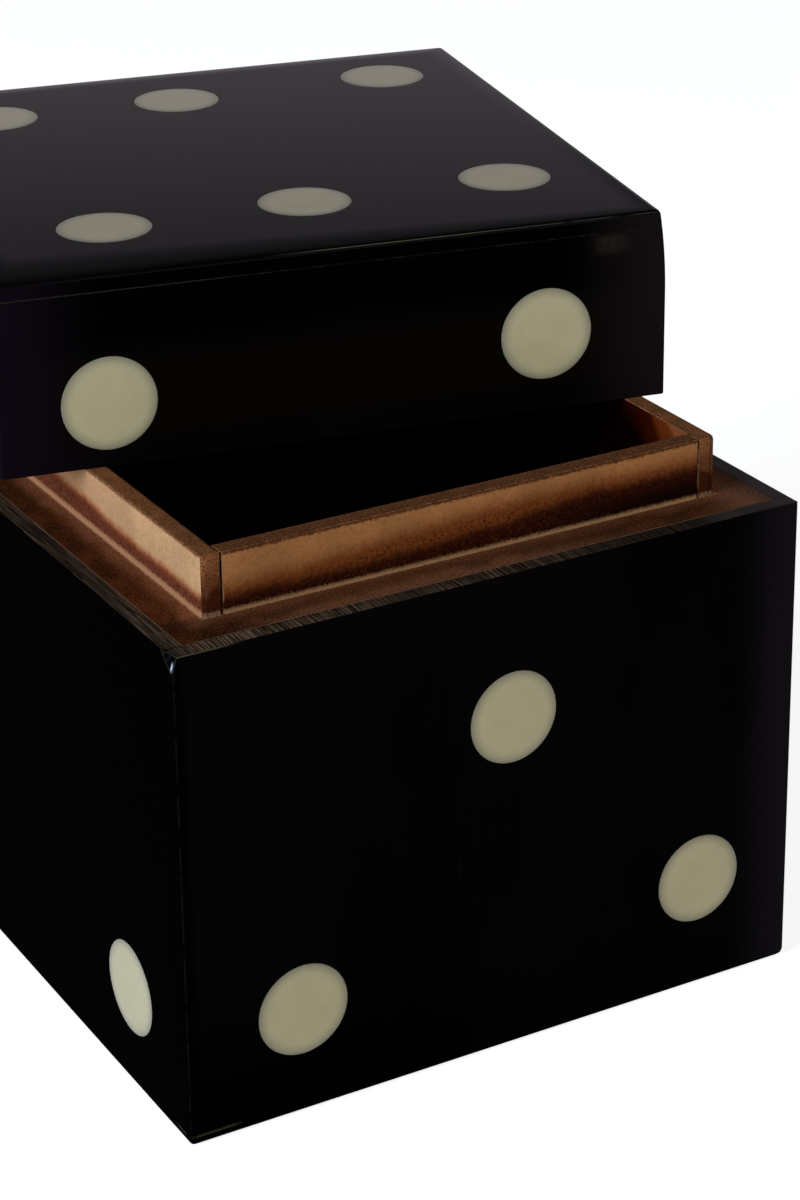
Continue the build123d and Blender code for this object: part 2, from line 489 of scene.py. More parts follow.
def seam_line():
    """Dull glue line between two resin sheets, broken in places and whole at the left."""
    finish = Finish("seam_line", True)
    x = finish.axes()[0]
    wear = finish.grain((700, 700, 300), 3).fade(0.42, 0.60)
    wear = wear.larger(x.fade(-32 * MM, -12 * MM, 0.75, 0.0)) * x.fade(-32 * MM, -8 * MM, 1.0, 0.5)
    finish.first_coat(wear, DEEP_BLACK, chosen("rubbed") * 0.28)
    return finish.done(0.6, 0.1)


def chip_face():
    """Fresh break in the resin: ripples in a painted dark-blue reflection, and one painted glint."""
    finish = Finish("chip_face")
    _, y, z = finish.axes()
    # Ripples of the break, in a painted dark-blue reflection.
    finish.first_coat(finish.grain(900, 3).fade(0.50, 0.66), DEEP_BLACK, BREAK_RIPPLE_REFLECTION)
    # Painted glint.
    glint = y.near(-HALF + 0.9 * MM, 0.45 * MM) * z.near(LEDGE - 2.5 * MM, 1.3 * MM)
    finish.coat(glint, BREAK_GLINT)
    return finish.done(0.35, 0.002)


def sawn_edge():
    """The resin's sanded edge, with scratches that all run from front to back, darker along the left
    side and in painted shade deepening towards the right.
    """
    finish = Finish("sawn_edge")
    x = finish.axes()[0]
    sawn = chosen("sawn")
    scratches = finish.grain((3000, 40, 60), 1, 0.5)
    hairs = finish.grain((4200, 90, 60), 0, 0.5)
    patches = finish.grain((90, 50, 50), 3)
    finish.first_coat(scratches.fade(0.47, 0.53), sawn * 0.05, sawn * 0.62)
    finish.coat(hairs.fade(0.53, 0.58, 0.0, 0.9), sawn * 2.6)
    # Darker along the left side, and painted shade deepening towards the right where the light falls
    # off.
    on_left = x.fade(-INNER, -INNER - 0.5 * MM)
    shade_toward_right = x.fade(-LINING_HALF, LINING_HALF)
    finish.coat((on_left * 0.5).larger(shade_toward_right * 0.88), sawn * 0.10)
    finish.coat(x.fade(INNER - 4 * MM, INNER, 0.0, 0.85), DULL_STRIP)
    finish.coat(patches.fade(0.45, 0.65, 0.0, 0.65), sawn * 0.3)
    return finish.done(0.6, 0.1, hairs, 0.08 * MM, 0.5)


PIP_EDGE = "pip_edge"


def pip_cream():
    """Cream resin with faint clouds, greyer towards the edge of the pip."""
    finish = Finish("pip_cream")
    cream = chosen("cream")
    clouds = finish.grain(160, 4)
    finish.first_coat(clouds.fade(0.3, 0.7), cream * 0.96, cream * 1.03)
    finish.coat(finish.grain(1500, 2).fade(0.72, 0.85, 0.0, 0.25), cream * 0.75)
    mark = add_node(finish.tree, "ShaderNodeAttribute", attribute_name=PIP_EDGE)
    greyed = Measure(mark.outputs["Fac"]).maths("POWER", 1.7) * 0.9
    finish.coat(greyed, (cream.x * 0.45, cream.y * 0.49, cream.z * 0.56))
    return finish.done(0.28, 0.2, clouds, 0.02 * MM, 0.15)


def pip_rim():
    """Edge of a pip, darker where the glue line shows through."""
    finish = Finish("pip_rim")
    cream = chosen("cream")
    finish.first_coat(finish.grain(500, 3), cream * 0.35, cream * 0.65)
    return finish.done(0.35, 0.2)


PALE_STAIN = (0.37, 0.130, 0.052)
RIGHT_STAIN = (0.28, 0.118, 0.060)
RUBBED_STAIN = (0.38, 0.150, 0.070)
RIGHT_END_SHADE = (0.050, 0.030, 0.020)
STAIN_FIBRE = (0.22, 0.085, 0.034)
GLUE = (0.50, 0.26, 0.13)
JOINT_LINE = (0.30, 0.18, 0.10)
TORN_TAN = (0.40, 0.20, 0.10)


def dull(finish, height, specular=0.03):
    """Fibreboard's dull, fuzzy surface."""
    return finish.done(0.8, specular, height, 0.16 * MM, 0.5)


def stained_board():
    """Fibreboard of the ledge: mottled red-brown stain, paler beside the lip and the resin, with
    painted shade at its right end.
    """
    finish = Finish("stained_board")
    x, y, _ = finish.axes()
    stain = chosen("stain")
    mottle = finish.grain(130, 4)
    fibre = finish.grain(2000, 3, 0.75)
    finish.first_coat(mottle.fade(0.38, 0.62), stain * 0.6, stain * 1.6)
    at_front = y.fade(-LINING_HALF + 4 * MM, -LINING_HALF - 2 * MM)
    finish.coat(at_front * 0.4, stain * 0.3)
    finish.coat(x.fade(LINING_HALF - 7 * MM, LINING_HALF + 5 * MM) * 0.75, RIGHT_STAIN)
    out = abs(x).larger(abs(y)) - LINING_HALF
    wavering = out + mottle.swing(8 * MM)
    pale = wavering.fade(0.3 * MM, 5.2 * MM, 0.85, 0.0) * at_front.fade(0.0, 1.0, 1.0, 0.55)
    finish.coat(pale, PALE_STAIN)
    rubbed = wavering.fade(2.0 * MM, 8.0 * MM) * y.fade(-INNER + 9 * MM, -INNER + 6 * MM)
    rubbed = rubbed * x.fade(-LINING_HALF, -40 * MM) * x.fade(5 * MM, 45 * MM, 0.5, 0.1)
    finish.coat(rubbed, RUBBED_STAIN)
    finish.coat((out + fibre.swing(0.5 * MM)).near(0.1 * MM, 0.5 * MM), GLUE)
    joint = out.near(INNER - LINING_HALF, 0.3 * MM)
    finish.coat(joint * x.fade(INNER - 20 * MM, INNER - 3 * MM, 0.7, 0.0), JOINT_LINE)
    # Painted shade at the right end, where the light falls off.
    finish.coat(x.fade(INNER - 6 * MM, INNER, 0.0, 0.6), RIGHT_END_SHADE)
    finish.coat(fibre.fade(0.50, 0.60, 0.0, 0.75), stain * 0.2)
    finish.coat(fibre.fade(0.45, 0.38, 0.0, 0.5), STAIN_FIBRE)
    return dull(finish, fibre)


def lip_face(
    name, tan, *, middle, band, foot, rim, rim_depth, foot_height, middle_span, band_span, spread
):
    """Outer face of a lip board: tan, with a dark speckled band above its pale foot."""
    finish = Finish(name)
    x, y, z = finish.axes()
    middle, band = Vector(middle), Vector(band)
    waves = finish.grain((70, 70, 40), 3)
    speckle = finish.grain(2200, 2, 0.6)
    ragged = finish.grain(900, 4, 0.7)
    height = z - LEDGE
    level = height + waves.swing(2.5 * MM) + speckle.swing(spread * 1.5) + ragged.swing(spread * 0.8)
    level = level - y.fade(-30 * MM, 0.0, 0.0, 2.2 * MM)
    middle_level = level - x.fade(-LINING_HALF, 20 * MM, 0.0, 3.9 * MM)
    band_level = level - x.fade(-24 * MM, 42 * MM, 0.0, 3.7 * MM)
    finish.first_coat(waves.fade(0.35, 0.65), tan * 0.86, tan * 1.10)
    far = y.fade(-45 * MM, 15 * MM, 0.0, 0.8) * x.fade(-JOINT, -LINING_HALF)
    finish.coat(far, (tan.x * 0.80, tan.y * 0.72, tan.z * 0.72))
    finish.coat(speckle.fade(0.54, 0.68, 0.0, 0.45), tan * 0.42)
    finish.coat(speckle.fade(0.46, 0.32, 0.0, 0.4), tan * 1.2)
    finish.coat(middle_level.fade(*middle_span), middle)
    finish.coat(band_level.fade(*band_span), band)
    in_band = middle_level.fade(sum(middle_span) / 2, middle_span[1])
    finish.coat(in_band * speckle.fade(0.50, 0.58, 0.0, 0.7), band * 0.25)
    finish.coat(in_band * speckle.fade(0.46, 0.36, 0.0, 0.25), middle * 0.8)
    finish.coat(x.fade(5 * MM, 50 * MM, 0.0, 0.9) * level.fade(6.5 * MM, 2.0 * MM), band * 0.1)
    low_level = height + ragged.swing(0.7 * MM) + speckle.swing(0.8 * MM)
    finish.coat(low_level.fade(foot_height + 0.7 * MM, foot_height - 0.5 * MM), foot)
    top_level = height + ragged.swing(1.6 * rim_depth) + speckle.swing(2.0 * rim_depth)
    finish.coat(top_level.fade(LIP_HEIGHT - 2.0 * rim_depth, LIP_HEIGHT - 0.7 * rim_depth), rim)
    sliver = x.near(-JOINT + JOINT_EASE + 0.2 * MM, 0.25 * MM)
    torn = finish.grain((600, 600, 250), 3).fade(0.42, 0.54)
    finish.coat(sliver * torn, TORN_TAN)
    return dull(finish, speckle)


def side_lip_face():
    """Tan face of the side boards."""
    return lip_face(
        "side_lip_face", chosen("tan"), middle=(0.33, 0.078, 0.026), band=(0.165, 0.043, 0.019),
        foot=(0.47, 0.215, 0.100), rim=(0.24, 0.100, 0.040), rim_depth=0.4 * MM, foot_height=1.3 * MM,
        middle_span=(6.1 * MM, 3.8 * MM), band_span=(4.4 * MM, 3.0 * MM), spread=2.0 * MM,
    )


def front_lip_face():
    """Copper-brown face of the front and back boards."""
    return lip_face(
        "front_lip_face", chosen("copper"), middle=(0.21, 0.055, 0.013), band=(0.034, 0.0055, 0.0014),
        foot=(0.40, 0.225, 0.105), rim=(0.085, 0.028, 0.010), rim_depth=0.55 * MM, foot_height=0.6 * MM,
        middle_span=(8.5 * MM, 3.7 * MM), band_span=(4.75 * MM, 2.2 * MM), spread=3.4 * MM,
    )


END_BROWN = (0.13, 0.036, 0.012)
END_DARK = (0.045, 0.008, 0.002)
END_FOOT = (0.26, 0.15, 0.085)
GAP_DARK = (0.004, 0.001, 0.0006)
GAP_CRUMB = (0.07, 0.026, 0.010)
TORN_DARK = (0.05, 0.016, 0.006)


def lip_top():
    """Top and ends of the lip boards: brown fibreboard with a rough cut, darker down the ends."""
    finish = Finish("lip_top")
    x, _, z = finish.axes()
    top = chosen("top")
    mottle = finish.grain((260, 260, 200), 4)
    fibre = finish.grain(2000, 3, 0.75)
    finish.first_coat(mottle.fade(0.35, 0.65), top * 0.8, top * 1.25)
    between = abs(x).fade(JOINT, JOINT - 0.3 * MM)
    finish.coat(between * 0.65, top * 0.4)
    finish.coat(fibre.fade(0.47, 0.38, 0.0, 0.5), top * 1.7)
    finish.coat(z.fade(LIP_TOP - 1.5 * MM, LIP_TOP - 6.0 * MM, 0.0, 0.8), END_BROWN)
    low = z + mottle.swing(14 * MM)
    finish.coat(low.fade(LEDGE + 8.0 * MM, LEDGE + 4.5 * MM, 0.0, 0.95), END_DARK)
    foot = z + fibre.swing(1.5 * MM)
    finish.coat(foot.fade(LEDGE + 1.2 * MM, LEDGE + 0.6 * MM), END_FOOT)
    finish.coat(fibre.fade(0.50, 0.60, 0.0, 0.8), top * 0.2)
    return dull(finish, fibre)


def joint_gap():
    """Dark line where two lip boards meet."""
    finish = Finish("joint_gap")
    crumbs = finish.grain((1500, 1500, 500), 3)
    finish.first_coat(crumbs.fade(0.50, 0.62), GAP_DARK, GAP_CRUMB)
    return dull(finish, crumbs)


def joint_edge():
    """Pale torn edge beside the joint of two lip boards."""
    finish = Finish("joint_edge")
    crumbs = finish.grain((1500, 1500, 300), 3)
    finish.first_coat(crumbs.fade(0.45, 0.60), TORN_DARK, chosen("tan") * 0.3)
    return dull(finish, crumbs)


WELL_DEEP_SHADE = (0.0010, 0.0001, 0.0001)
WELL_RED_SHADE = (0.036, 0.0036, 0.0005)
WELL_LIT_CORNER = (0.27, 0.075, 0.026)
CAP_DARK = (0.010, 0.005, 0.003)
CAP_BROWN = (0.030, 0.014, 0.008)
CAP_FIBRE = (0.055, 0.030, 0.018)


def well_face():
    """Inside of the lining, in painted shade: lit orange-brown at the lip and in the right corner, then
    red, then black deeper in as the light falls off.
    """
    finish = Finish("well_face")
    x, y, z = finish.axes()
    well = chosen("well")
    mottle = finish.grain((120, 120, 70), 4)
    fibre = finish.grain(1800, 3, 0.7)
    on_right = x.fade(JOINT - 1.0 * MM, JOINT - 0.5 * MM)
    from_corner = y.fade(-JOINT - 2 * MM, -33 * MM, 20 * MM, -10 * MM)
    lift = 3 * MM
    # Painted shade: depth below the lit lip, lifted in the lit right front corner.
    level = z + mottle.swing(5 * MM) - LIP_TOP + lift + on_right * (from_corner - lift)
    # Painted shade down to black deep in, and painted light pale in the right front corner.
    finish.first_coat(level.fade(-16 * MM, -2 * MM), WELL_DEEP_SHADE, WELL_RED_SHADE)
    finish.coat(level.fade(-1.5 * MM, 6 * MM), well)
    finish.coat(level.fade(9 * MM, 13 * MM), WELL_LIT_CORNER)
    finish.coat(fibre.fade(0.50, 0.65, 0.0, 0.35), well * 0.2)
    return dull(finish, fibre, 0.0)


def dark_board():
    """Fibreboard inside the lid, stained nearly black."""
    finish = Finish("dark_board")
    mottle = finish.grain(70, 4)
    fibre = finish.grain(1800, 3, 0.7)
    finish.first_coat(mottle.fade(0.35, 0.65), CAP_DARK, CAP_BROWN)
    finish.coat(fibre.fade(0.50, 0.75, 0.0, 0.5), CAP_FIBRE)
    return dull(finish, fibre)


MAKERS = (
    box_resin, lid_resin, lid_top_resin, seam_line, chip_face, sawn_edge, pip_cream, pip_rim,
    stained_board, side_lip_face, front_lip_face, lip_top, joint_gap, joint_edge, well_face, dark_board,
)


def finish_named(name):
    """The material of that name, made the first time that a piece asks for it."""
    makers = {maker.__name__: maker for maker in MAKERS}
    return bpy.data.materials.get(name) or makers[name]()


def give_finishes(thing, *names):
    """Gives a piece its finishes, in the order of their numbers on its faces."""
    thing.data.materials.clear()
    for name in names:
        thing.data.materials.append(finish_named(name))


# ---- resin sheets -----------------------------------------------------------------------
CHIP = Vector((1.1, 5.5, 4.4)) * MM
CHIP_NORMAL = Vector((1 / CHIP.x, 1 / CHIP.y, -1 / CHIP.z)).normalized()
CHIP_RIM = 0.12 * MM
BAR_SIDES = 96
RESIN, SEAM, SAWN, BREAK, FALL = range(5)


def weigh(thing, weights):
    """Marks picked edges with their share of the bevel's width."""
    for share, wanted in weights:
        mesh = edit(thing)
        pick_edges(mesh, wanted)
        bpy.ops.transform.edge_bevelweight(value=share)
        leave_edit()


def box_form(sizes):
    """Outside of the clad box, with its rounded corners and foot, fine ledge and chipped corner."""
    form = block("box_form", (-HALF, -HALF, 0), (HALF, HALF, LEDGE))
    weights = (
        (sizes.corner_radius / sizes.foot_radius, upright),
        (1.0, level_at(0)),
        (sizes.ledge_bevel / sizes.foot_radius, level_at(LEDGE)),
    )
    weigh(form, weights)
    ease(form, sizes.foot_radius, 5)
    keep_beyond(form, (-HALF + CHIP.x, -HALF, LEDGE), CHIP_NORMAL)
    return form


def raise_ring(thing, height, half):
    """Extrudes the picked top up to a height and resizes it to a half width."""
    mesh = bmesh.from_edit_mesh(thing.data)
    top = [vert.co for vert in mesh.verts if vert.select]
    rise = height - top[0].z
    ratio = half / max(abs(point.x) for point in top)
    bpy.ops.mesh.extrude_region_move(TRANSFORM_OT_translate={"value": (0, 0, rise)})
    bpy.ops.transform.resize(value=(ratio, ratio, 1), center_override=(0, 0, height))


def round_middle(sizes):
    """Distance from the lid's middle to where the round of its top edge is struck from."""
    tuck = 0.95
    return HALF - sizes.lean_in - sizes.top_radius * tuck


def lid_rings(sizes):
    """Heights and half widths up the lid's side, round its edge and over its top."""
    radius = (sizes.lean_run**2 + sizes.lean_in**2) / (2 * sizes.lean_in)
    start = LID_HEIGHT - sizes.lean_run
    edge_height = LID_HEIGHT - sizes.roll_drop
    lean_steps, round_steps, fall_steps = 12, 6, 7
    for step in range(1, lean_steps + 1):
        rise = (sizes.lean_run - sizes.roll_drop - sizes.top_radius) * step / lean_steps
        yield start + rise, HALF - radius + math.sqrt(radius**2 - rise**2)
    struck_from = round_middle(sizes)
    for step in range(1, round_steps):
        turn = math.radians(90 * step / round_steps)
        reach = struck_from + sizes.top_radius * math.cos(turn)
        yield edge_height - sizes.top_radius * (1 - math.sin(turn)), reach
    for step in range(1, fall_steps + 1):
        share = step / fall_steps
        fall = sizes.roll_drop * (1 - share) ** 2
        yield LID_HEIGHT - fall, struck_from - sizes.roll_run * share


def stretch_fall(form, sizes):
    """Stretches the fall of the lid's top along its front, wide at the left and narrow at the right."""
    pivot = (0, -round_middle(sizes), 0)
    for on_left, width in ((True, sizes.fall_left), (False, sizes.fall_right)):
        mesh = bmesh.from_edit_mesh(form.data)
        bpy.ops.mesh.select_all(action="DESELECT")
        bpy.ops.mesh.select_mode(type="VERT")
        for vert in mesh.verts:
            in_fall = vert.co.z > LID_HEIGHT - sizes.roll_drop + TINY
            vert.select_set(in_fall and vert.co.y < 0 and (vert.co.x < 0) == on_left)
        mesh.select_flush_mode()
        bpy.ops.transform.resize(value=(1, width / sizes.roll_run, 1), center_override=pivot)


def lid_form(sizes):
    """Outside of the clad lid, drawn about its own middle with its rim at z = 0."""
    form = block("lid_form", (-HALF, -HALF, 0), (HALF, HALF, LID_HEIGHT - sizes.lean_run))
    mesh = edit(form)
    pick_faces(mesh, lambda face: face.normal.z > 0.5)
    for height, half in lid_rings(sizes):
        raise_ring(form, height, half)
    stretch_fall(form, sizes)
    leave_edit()
    rim_share = sizes.ledge_bevel / sizes.corner_radius
    weigh(form, ((1.0, upright), (rim_share, level_at(0))))
    ease(form, sizes.corner_radius, 4)
    return form


def facing(side, turn=0.0):
    """Outward direction of a side of the box, or of the lid by its turn."""
    ways = {
        "front": (0, -1, 0), "back": (0, 1, 0), "left": (-1, 0, 0), "right": (1, 0, 0),
        "top": (0, 0, 1), "bottom": (0, 0, -1),
    }
    return Matrix.Rotation(turn, 3, "Z") @ Vector(ways[side])


def saw_sheet(form, name, side, high=None):
    """Saws one upright sheet out of a form, up to a height if one is given."""
    sheet = copy_of(form, name)
    keep_beyond(sheet, facing(side) * INNER, facing(side))
    if side in ("left", "right"):
        keep_beyond(sheet, (0, -INNER, 0), (0, 1, 0))
        keep_beyond(sheet, (0, INNER, 0), (0, -1, 0))
    if high is not None:
        keep_beyond(sheet, (0, 0, high), (0, 0, -1))
    return sheet


def pips_let_into(side, on_lid):
    """The frame's pips on one side of the box or of the lid."""
    body = "lid" if on_lid else "box"
    members = frame["record"]["behaviour"]["bodies"][body]
    return [node for node in members if node.startswith(f"pip_{side}_")]


def pip_radius(node):
    """Half the height of an upright pip's box, or half the width of a level pip's box."""
    low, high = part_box(node)
    on_upright_side = high.z - low.z > 2 * PIP_DEPTH
    return (high.z - low.z) / 2 if on_upright_side else (high.x - low.x) / 2


def round_bar(name, middle, way, radius, depth):
    """A round bar about a middle point, along a direction, with its place in its mesh."""
    deselect()
    bpy.ops.mesh.primitive_cylinder_add(
        vertices=BAR_SIDES, radius=radius, depth=depth, location=middle,
        rotation=Vector(way).to_track_quat("Z", "Y").to_euler(),
    )
    bar = bpy.context.active_object
    bar.name = name
    apply_place(bar)
    return bar


def cut_pockets(sheet, side, on_lid, sizes):
    """Lets a blind pocket into a sheet for each of its pips."""
    way = facing(side, sizes.lid_turn if on_lid else 0.0)
    for node in pips_let_into(side, on_lid):
        mouth = middle_of(node) + way * PIP_DEPTH / 2
        cutter = round_bar("cutter", mouth, way, pip_radius(node) + sizes.pip_gap, 2 * PIP_DEPTH)
        apply_modifier(sheet, "BOOLEAN", object=cutter, operation="DIFFERENCE", solver="EXACT")
        remove(cutter)


def rim_chip(sheet):
    """Outlines the chipped corner with a fine rim and gives the break its own finish."""
    def broken(face):
        return face.normal.dot(-CHIP_NORMAL) > 0.999

    mesh = edit(sheet)
    pick_faces(mesh, broken)
    bpy.ops.mesh.inset(thickness=CHIP_RIM, use_boundary=True)
    for face in bmesh.from_edit_mesh(sheet.data).faces:
        if broken(face):
            face.material_index = BREAK if face.select else SEAM
    leave_edit()


def dress_sheet(sheet, side, node, on_lid, sizes):
    """Eases a sheet's sawn edges, cuts its pockets and gives it its finishes."""
    resin = ("lid_top_resin" if side == "top" else "lid_resin") if on_lid else "box_resin"
    give_finishes(sheet, resin, "seam_line", "sawn_edge", "chip_face", "lid_resin")
    apply_modifier(
        sheet, "BEVEL", width=sizes.seam, segments=1, limit_method="ANGLE",
        angle_limit=math.radians(60), material=SEAM, use_clamp_overlap=False,
    )
    seam_height = LID_TOP - SKIN
    cut_height = LID_RIM if on_lid else LEDGE

    def off_seam(face):
        return face.material_index == SEAM and not near(face.center.z, seam_height, 0.3 * MM)

    def sawn(face):
        return abs(face.normal.z) > 0.8 and near(face.center.z, cut_height, 0.35 * MM)

    paint_faces(sheet, RESIN, off_seam)
    paint_faces(sheet, SAWN, sawn)
    if side == "top":
        fallen = LID_TOP - sizes.roll_drop - sizes.top_radius
        # The top's fall takes the sides' resin, whose painted shade near the top darkens it.
        paint_faces(sheet, FALL, lambda face: face.material_index == RESIN and face.center.z < fallen)
    if not on_lid and side in ("front", "left"):
        rim_chip(sheet)
    cut_pockets(sheet, side, on_lid, sizes)
    smooth(sheet)
    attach(sheet, "lid" if on_lid else "box")
    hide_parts(node)


class DICEBOX_OT_clad_box(bpy.types.Operator):
    """Clads the box in five sheets of black resin"""
    bl_idname = "dicebox.clad_box"
    bl_label = "Clad box"

    def execute(self, context):
        sizes = context.scene.dicebox_sizes
        form = box_form(sizes)
        for side in SIDES:
            sheet = saw_sheet(form, f"{side}_sheet", side)
            dress_sheet(sheet, side, f"skin_{side}", False, sizes)
        remove(form)
        sheet = block("bottom_sheet", (-INNER, -INNER, 0), (INNER, INNER, SKIN))
        dress_sheet(sheet, "bottom", "skin_bottom", False, sizes)
        return {"FINISHED"}


class DICEBOX_OT_clad_lid(bpy.types.Operator):
    """Clads the lid in four upright sheets of black resin under a top sheet"""
    bl_idname = "dicebox.clad_lid"
    bl_label = "Clad lid"

    def execute(self, context):
        sizes = context.scene.dicebox_sizes
        form = lid_form(sizes)
        seam_height = LID_HEIGHT - SKIN
        sheets = {side: saw_sheet(form, f"lid_{side}_sheet", side, seam_height) for side in SIDES}
        keep_beyond(form, (0, 0, seam_height), (0, 0, 1))
        form.name = "lid_top_sheet"
        sheets["top"] = form
        for side, sheet in sheets.items():
            sheet.location = LID_MIDDLE
            sheet.rotation_euler.z = sizes.lid_turn
            apply_place(sheet)
            dress_sheet(sheet, side, f"lid_skin_{side}", True, sizes)
        return {"FINISHED"}


# ---- pips -------------------------------------------------------------------------------
class DICEBOX_OT_set_pips(bpy.types.Operator):
    """Sets a cream pip in each pocket, flush with its face"""
    bl_idname = "dicebox.set_pips"
    bl_label = "Set pips"

    def execute(self, context):
        sizes = context.scene.dicebox_sizes
        for body, members in frame["record"]["behaviour"]["bodies"].items():
            for node in members:
                if node.startswith("pip_"):
                    self.set_pip(node, body, sizes)
        return {"FINISHED"}

    def set_pip(self, node, body, sizes):
        """Turns one pip, rounds its rim and marks where it greys."""
        way = facing(node.split("_")[1], sizes.lid_turn if body == "lid" else 0.0)
        radius = pip_radius(node)
        pip = round_bar(node.replace("pip_", "disc_"), middle_of(node), way, radius, PIP_DEPTH)
        face_at = middle_of(node) + way * PIP_DEPTH / 2
        mesh = edit(pip)
        pick_edges(mesh, lambda edge: near((edge_middle(edge) - face_at).dot(way), 0))
        bpy.ops.mesh.bevel(offset=sizes.pip_rim, segments=3, affect="EDGES", material=1)
        mesh = bmesh.from_edit_mesh(pip.data)
        pick_faces(mesh, lambda face: near((face.calc_center_median() - face_at).length, 0))
        bpy.ops.mesh.inset(thickness=sizes.pip_soft)
        leave_edit()
        self.mark_edge(pip, face_at, radius - sizes.pip_rim - sizes.pip_soft / 2)
        give_finishes(pip, "pip_cream", "pip_rim")
        smooth(pip)
        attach(pip, body)
        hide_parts(node)

    @staticmethod
    def mark_edge(pip, face_at, reach):
        """Marks the pip's points with 1 beyond a reach from its middle, and with 0 within it."""
        marks = pip.data.attributes.new(PIP_EDGE, "FLOAT", "POINT")
        for mark, vert in zip(marks.data, pip.data.vertices):
            mark.value = float((vert.co - face_at).length > reach)


# ---- lip boards -------------------------------------------------------------------------
CUT, OUTER, WELL, GAP, TORN = range(5)
LOOKS_OUT, SQUARELY_OUT, LOOKS_IN = 0.75, 0.97, -0.9


class DICEBOX_OT_fit_lip(bpy.types.Operator):
    """Fits the four thin boards that line the box and stand up as its lip"""
    bl_idname = "dicebox.fit_lip"
    bl_label = "Fit lip"

    def execute(self, context):
        for side in SIDES:
            self.fit_board(side)
        return {"FINISHED"}

    def fit_board(self, side):
        """Cuts one board, opens its joints, rounds its top and wears the right one's corner."""
        node = f"liner_{side}"
        low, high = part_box(node)
        board = block(f"{side}_lip_board", low, high)
        outward = facing(side)
        on_side = side in ("left", "right")
        outer_face = "side_lip_face" if on_side else "front_lip_face"
        give_finishes(board, "lip_top", outer_face, "well_face", "joint_gap", "joint_edge")
        paint_faces(board, OUTER, lambda face: face.normal.dot(outward) > LOOKS_OUT)
        paint_faces(board, WELL, lambda face: face.normal.dot(outward) < LOOKS_IN)
        self.ease_joint(board, TORN if side == "right" else GAP)
        if side == "right":
            keep_beyond(board, (LINING_HALF - LIP_WEAR, -LINING_HALF, LIP_TOP), (-1, 1, -1))
        weights = [(LIP_TOP_ROUND / LIP_ROUND, level_at(high.z))]
        if on_side:
            weights.append((1.0, self.on_lip_corner))
        weigh(board, weights)
        ease(board, LIP_ROUND, 5)

        def off_square(face):
            return face.material_index == OUTER and face.normal.dot(outward) < SQUARELY_OUT

        if side == "right":
            paint_faces(board, CUT, off_square)
        smooth(board)
        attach(board, "box")
        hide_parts(node)

    @staticmethod
    def on_lip_corner(edge):
        """An upright edge on one of the lip's four outer corners."""
        middle = edge_middle(edge)
        return near(abs(middle.x), LINING_HALF) and near(abs(middle.y), LINING_HALF)

    @staticmethod
    def ease_joint(board, material):
        """Opens the joint a little where boards meet on the lip's front and back."""
        def beside_joint(edge):
            middle = edge_middle(edge)
            return near(abs(middle.x), JOINT) and near(abs(middle.y), LINING_HALF)

        mesh = edit(board)
        pick_edges(mesh, beside_joint)
        bpy.ops.mesh.bevel(offset=JOINT_EASE, segments=1, affect="EDGES", material=material)
        leave_edit()


class DICEBOX_OT_stain_boards(bpy.types.Operator):
    """Stains the fibreboard of the box and of the lid"""
    bl_idname = "dicebox.stain_boards"
    bl_label = "Stain boards"

    def execute(self, context):
        # The lining's floor takes the well's finish, which paints it black as shade deep in the box.
        finishes = {"carcass_": "stained_board", "liner_floor": "well_face", "lid_": "dark_board"}
        for node, thing in frame["nodes"].items():
            for start, name in finishes.items():
                if node.startswith(start) and "skin" not in node:
                    give_finishes(thing, name)
        return {"FINISHED"}


# ---- stage ------------------------------------------------------------------------------
CAMERA = {
    "azimuth": -29.003, "elevation": 20.429, "roll": -0.871, "distance": 739.2 * MM,
    "aim": Vector((0, 0, 52.5 * MM)), "aside": 8.91 * MM, "above": 77.57 * MM,
    "lens": 96.33, "shift": (0.025, -0.2),
}
LAMPS = {
    "left_lamp": {"at": (-1.6, -0.28, 0.72), "size": 0.9, "power": 25.6, "tint": (0.70, 0.825, 1.0)},
    "front_lamp": {"at": (0.35, -1.65, 0.60), "size": 0.9, "power": 7.2, "tint": (1.0, 0.97, 0.93)},
}
LAMP_AIM = Vector((0, 20 * MM, 80 * MM))
WHITE = (1.0, 1.0, 1.0)
MIRRORED_WHITE = (1.0, 0.90, 1.02)
FLOOR_GREY = (0.85, 0.85, 0.85)
FLOOR_GLOW = 0.8


def add_camera():
    """The camera, by its angles about the aim and its distance from it."""
    bpy.ops.object.camera_add()
    camera = bpy.context.active_object
    azimuth, elevation, roll = (math.radians(CAMERA[key]) for key in ("azimuth", "elevation", "roll"))
    back = Vector((
        math.sin(azimuth) * math.cos(elevation), -math.cos(azimuth) * math.cos(elevation),
        math.sin(elevation),
    ))
    level_right = Vector((0, 0, 1)).cross(back).normalized()
    level_up = back.cross(level_right)
    right = level_right * math.cos(roll) + level_up * math.sin(roll)
    up = level_up * math.cos(roll) - level_right * math.sin(roll)
    place = CAMERA["aim"] + right * CAMERA["aside"] + up * CAMERA["above"] + back * CAMERA["distance"]
    turn = Matrix((right, up, back)).transposed().to_4x4()
    camera.matrix_world = Matrix.Translation(place) @ turn
    camera.data.lens = CAMERA["lens"]
    camera.data.shift_x, camera.data.shift_y = CAMERA["shift"]
    camera.data.clip_start = 0.01
    camera.data.clip_end = 100
    bpy.context.scene.camera = camera


def add_lamps():
    """Two soft square lamps, turned to the box."""
    for name, lamp in LAMPS.items():
        place = Vector(lamp["at"])
        bpy.ops.object.light_add(type="AREA", location=place)
        light = bpy.context.active_object
        light.name = name
        light.rotation_euler = (place - LAMP_AIM).to_track_quat("Z", "Y").to_euler()
        light.data.shape = "SQUARE"
        light.data.size = lamp["size"]
        light.data.energy = lamp["power"]
        light.data.color = lamp["tint"]


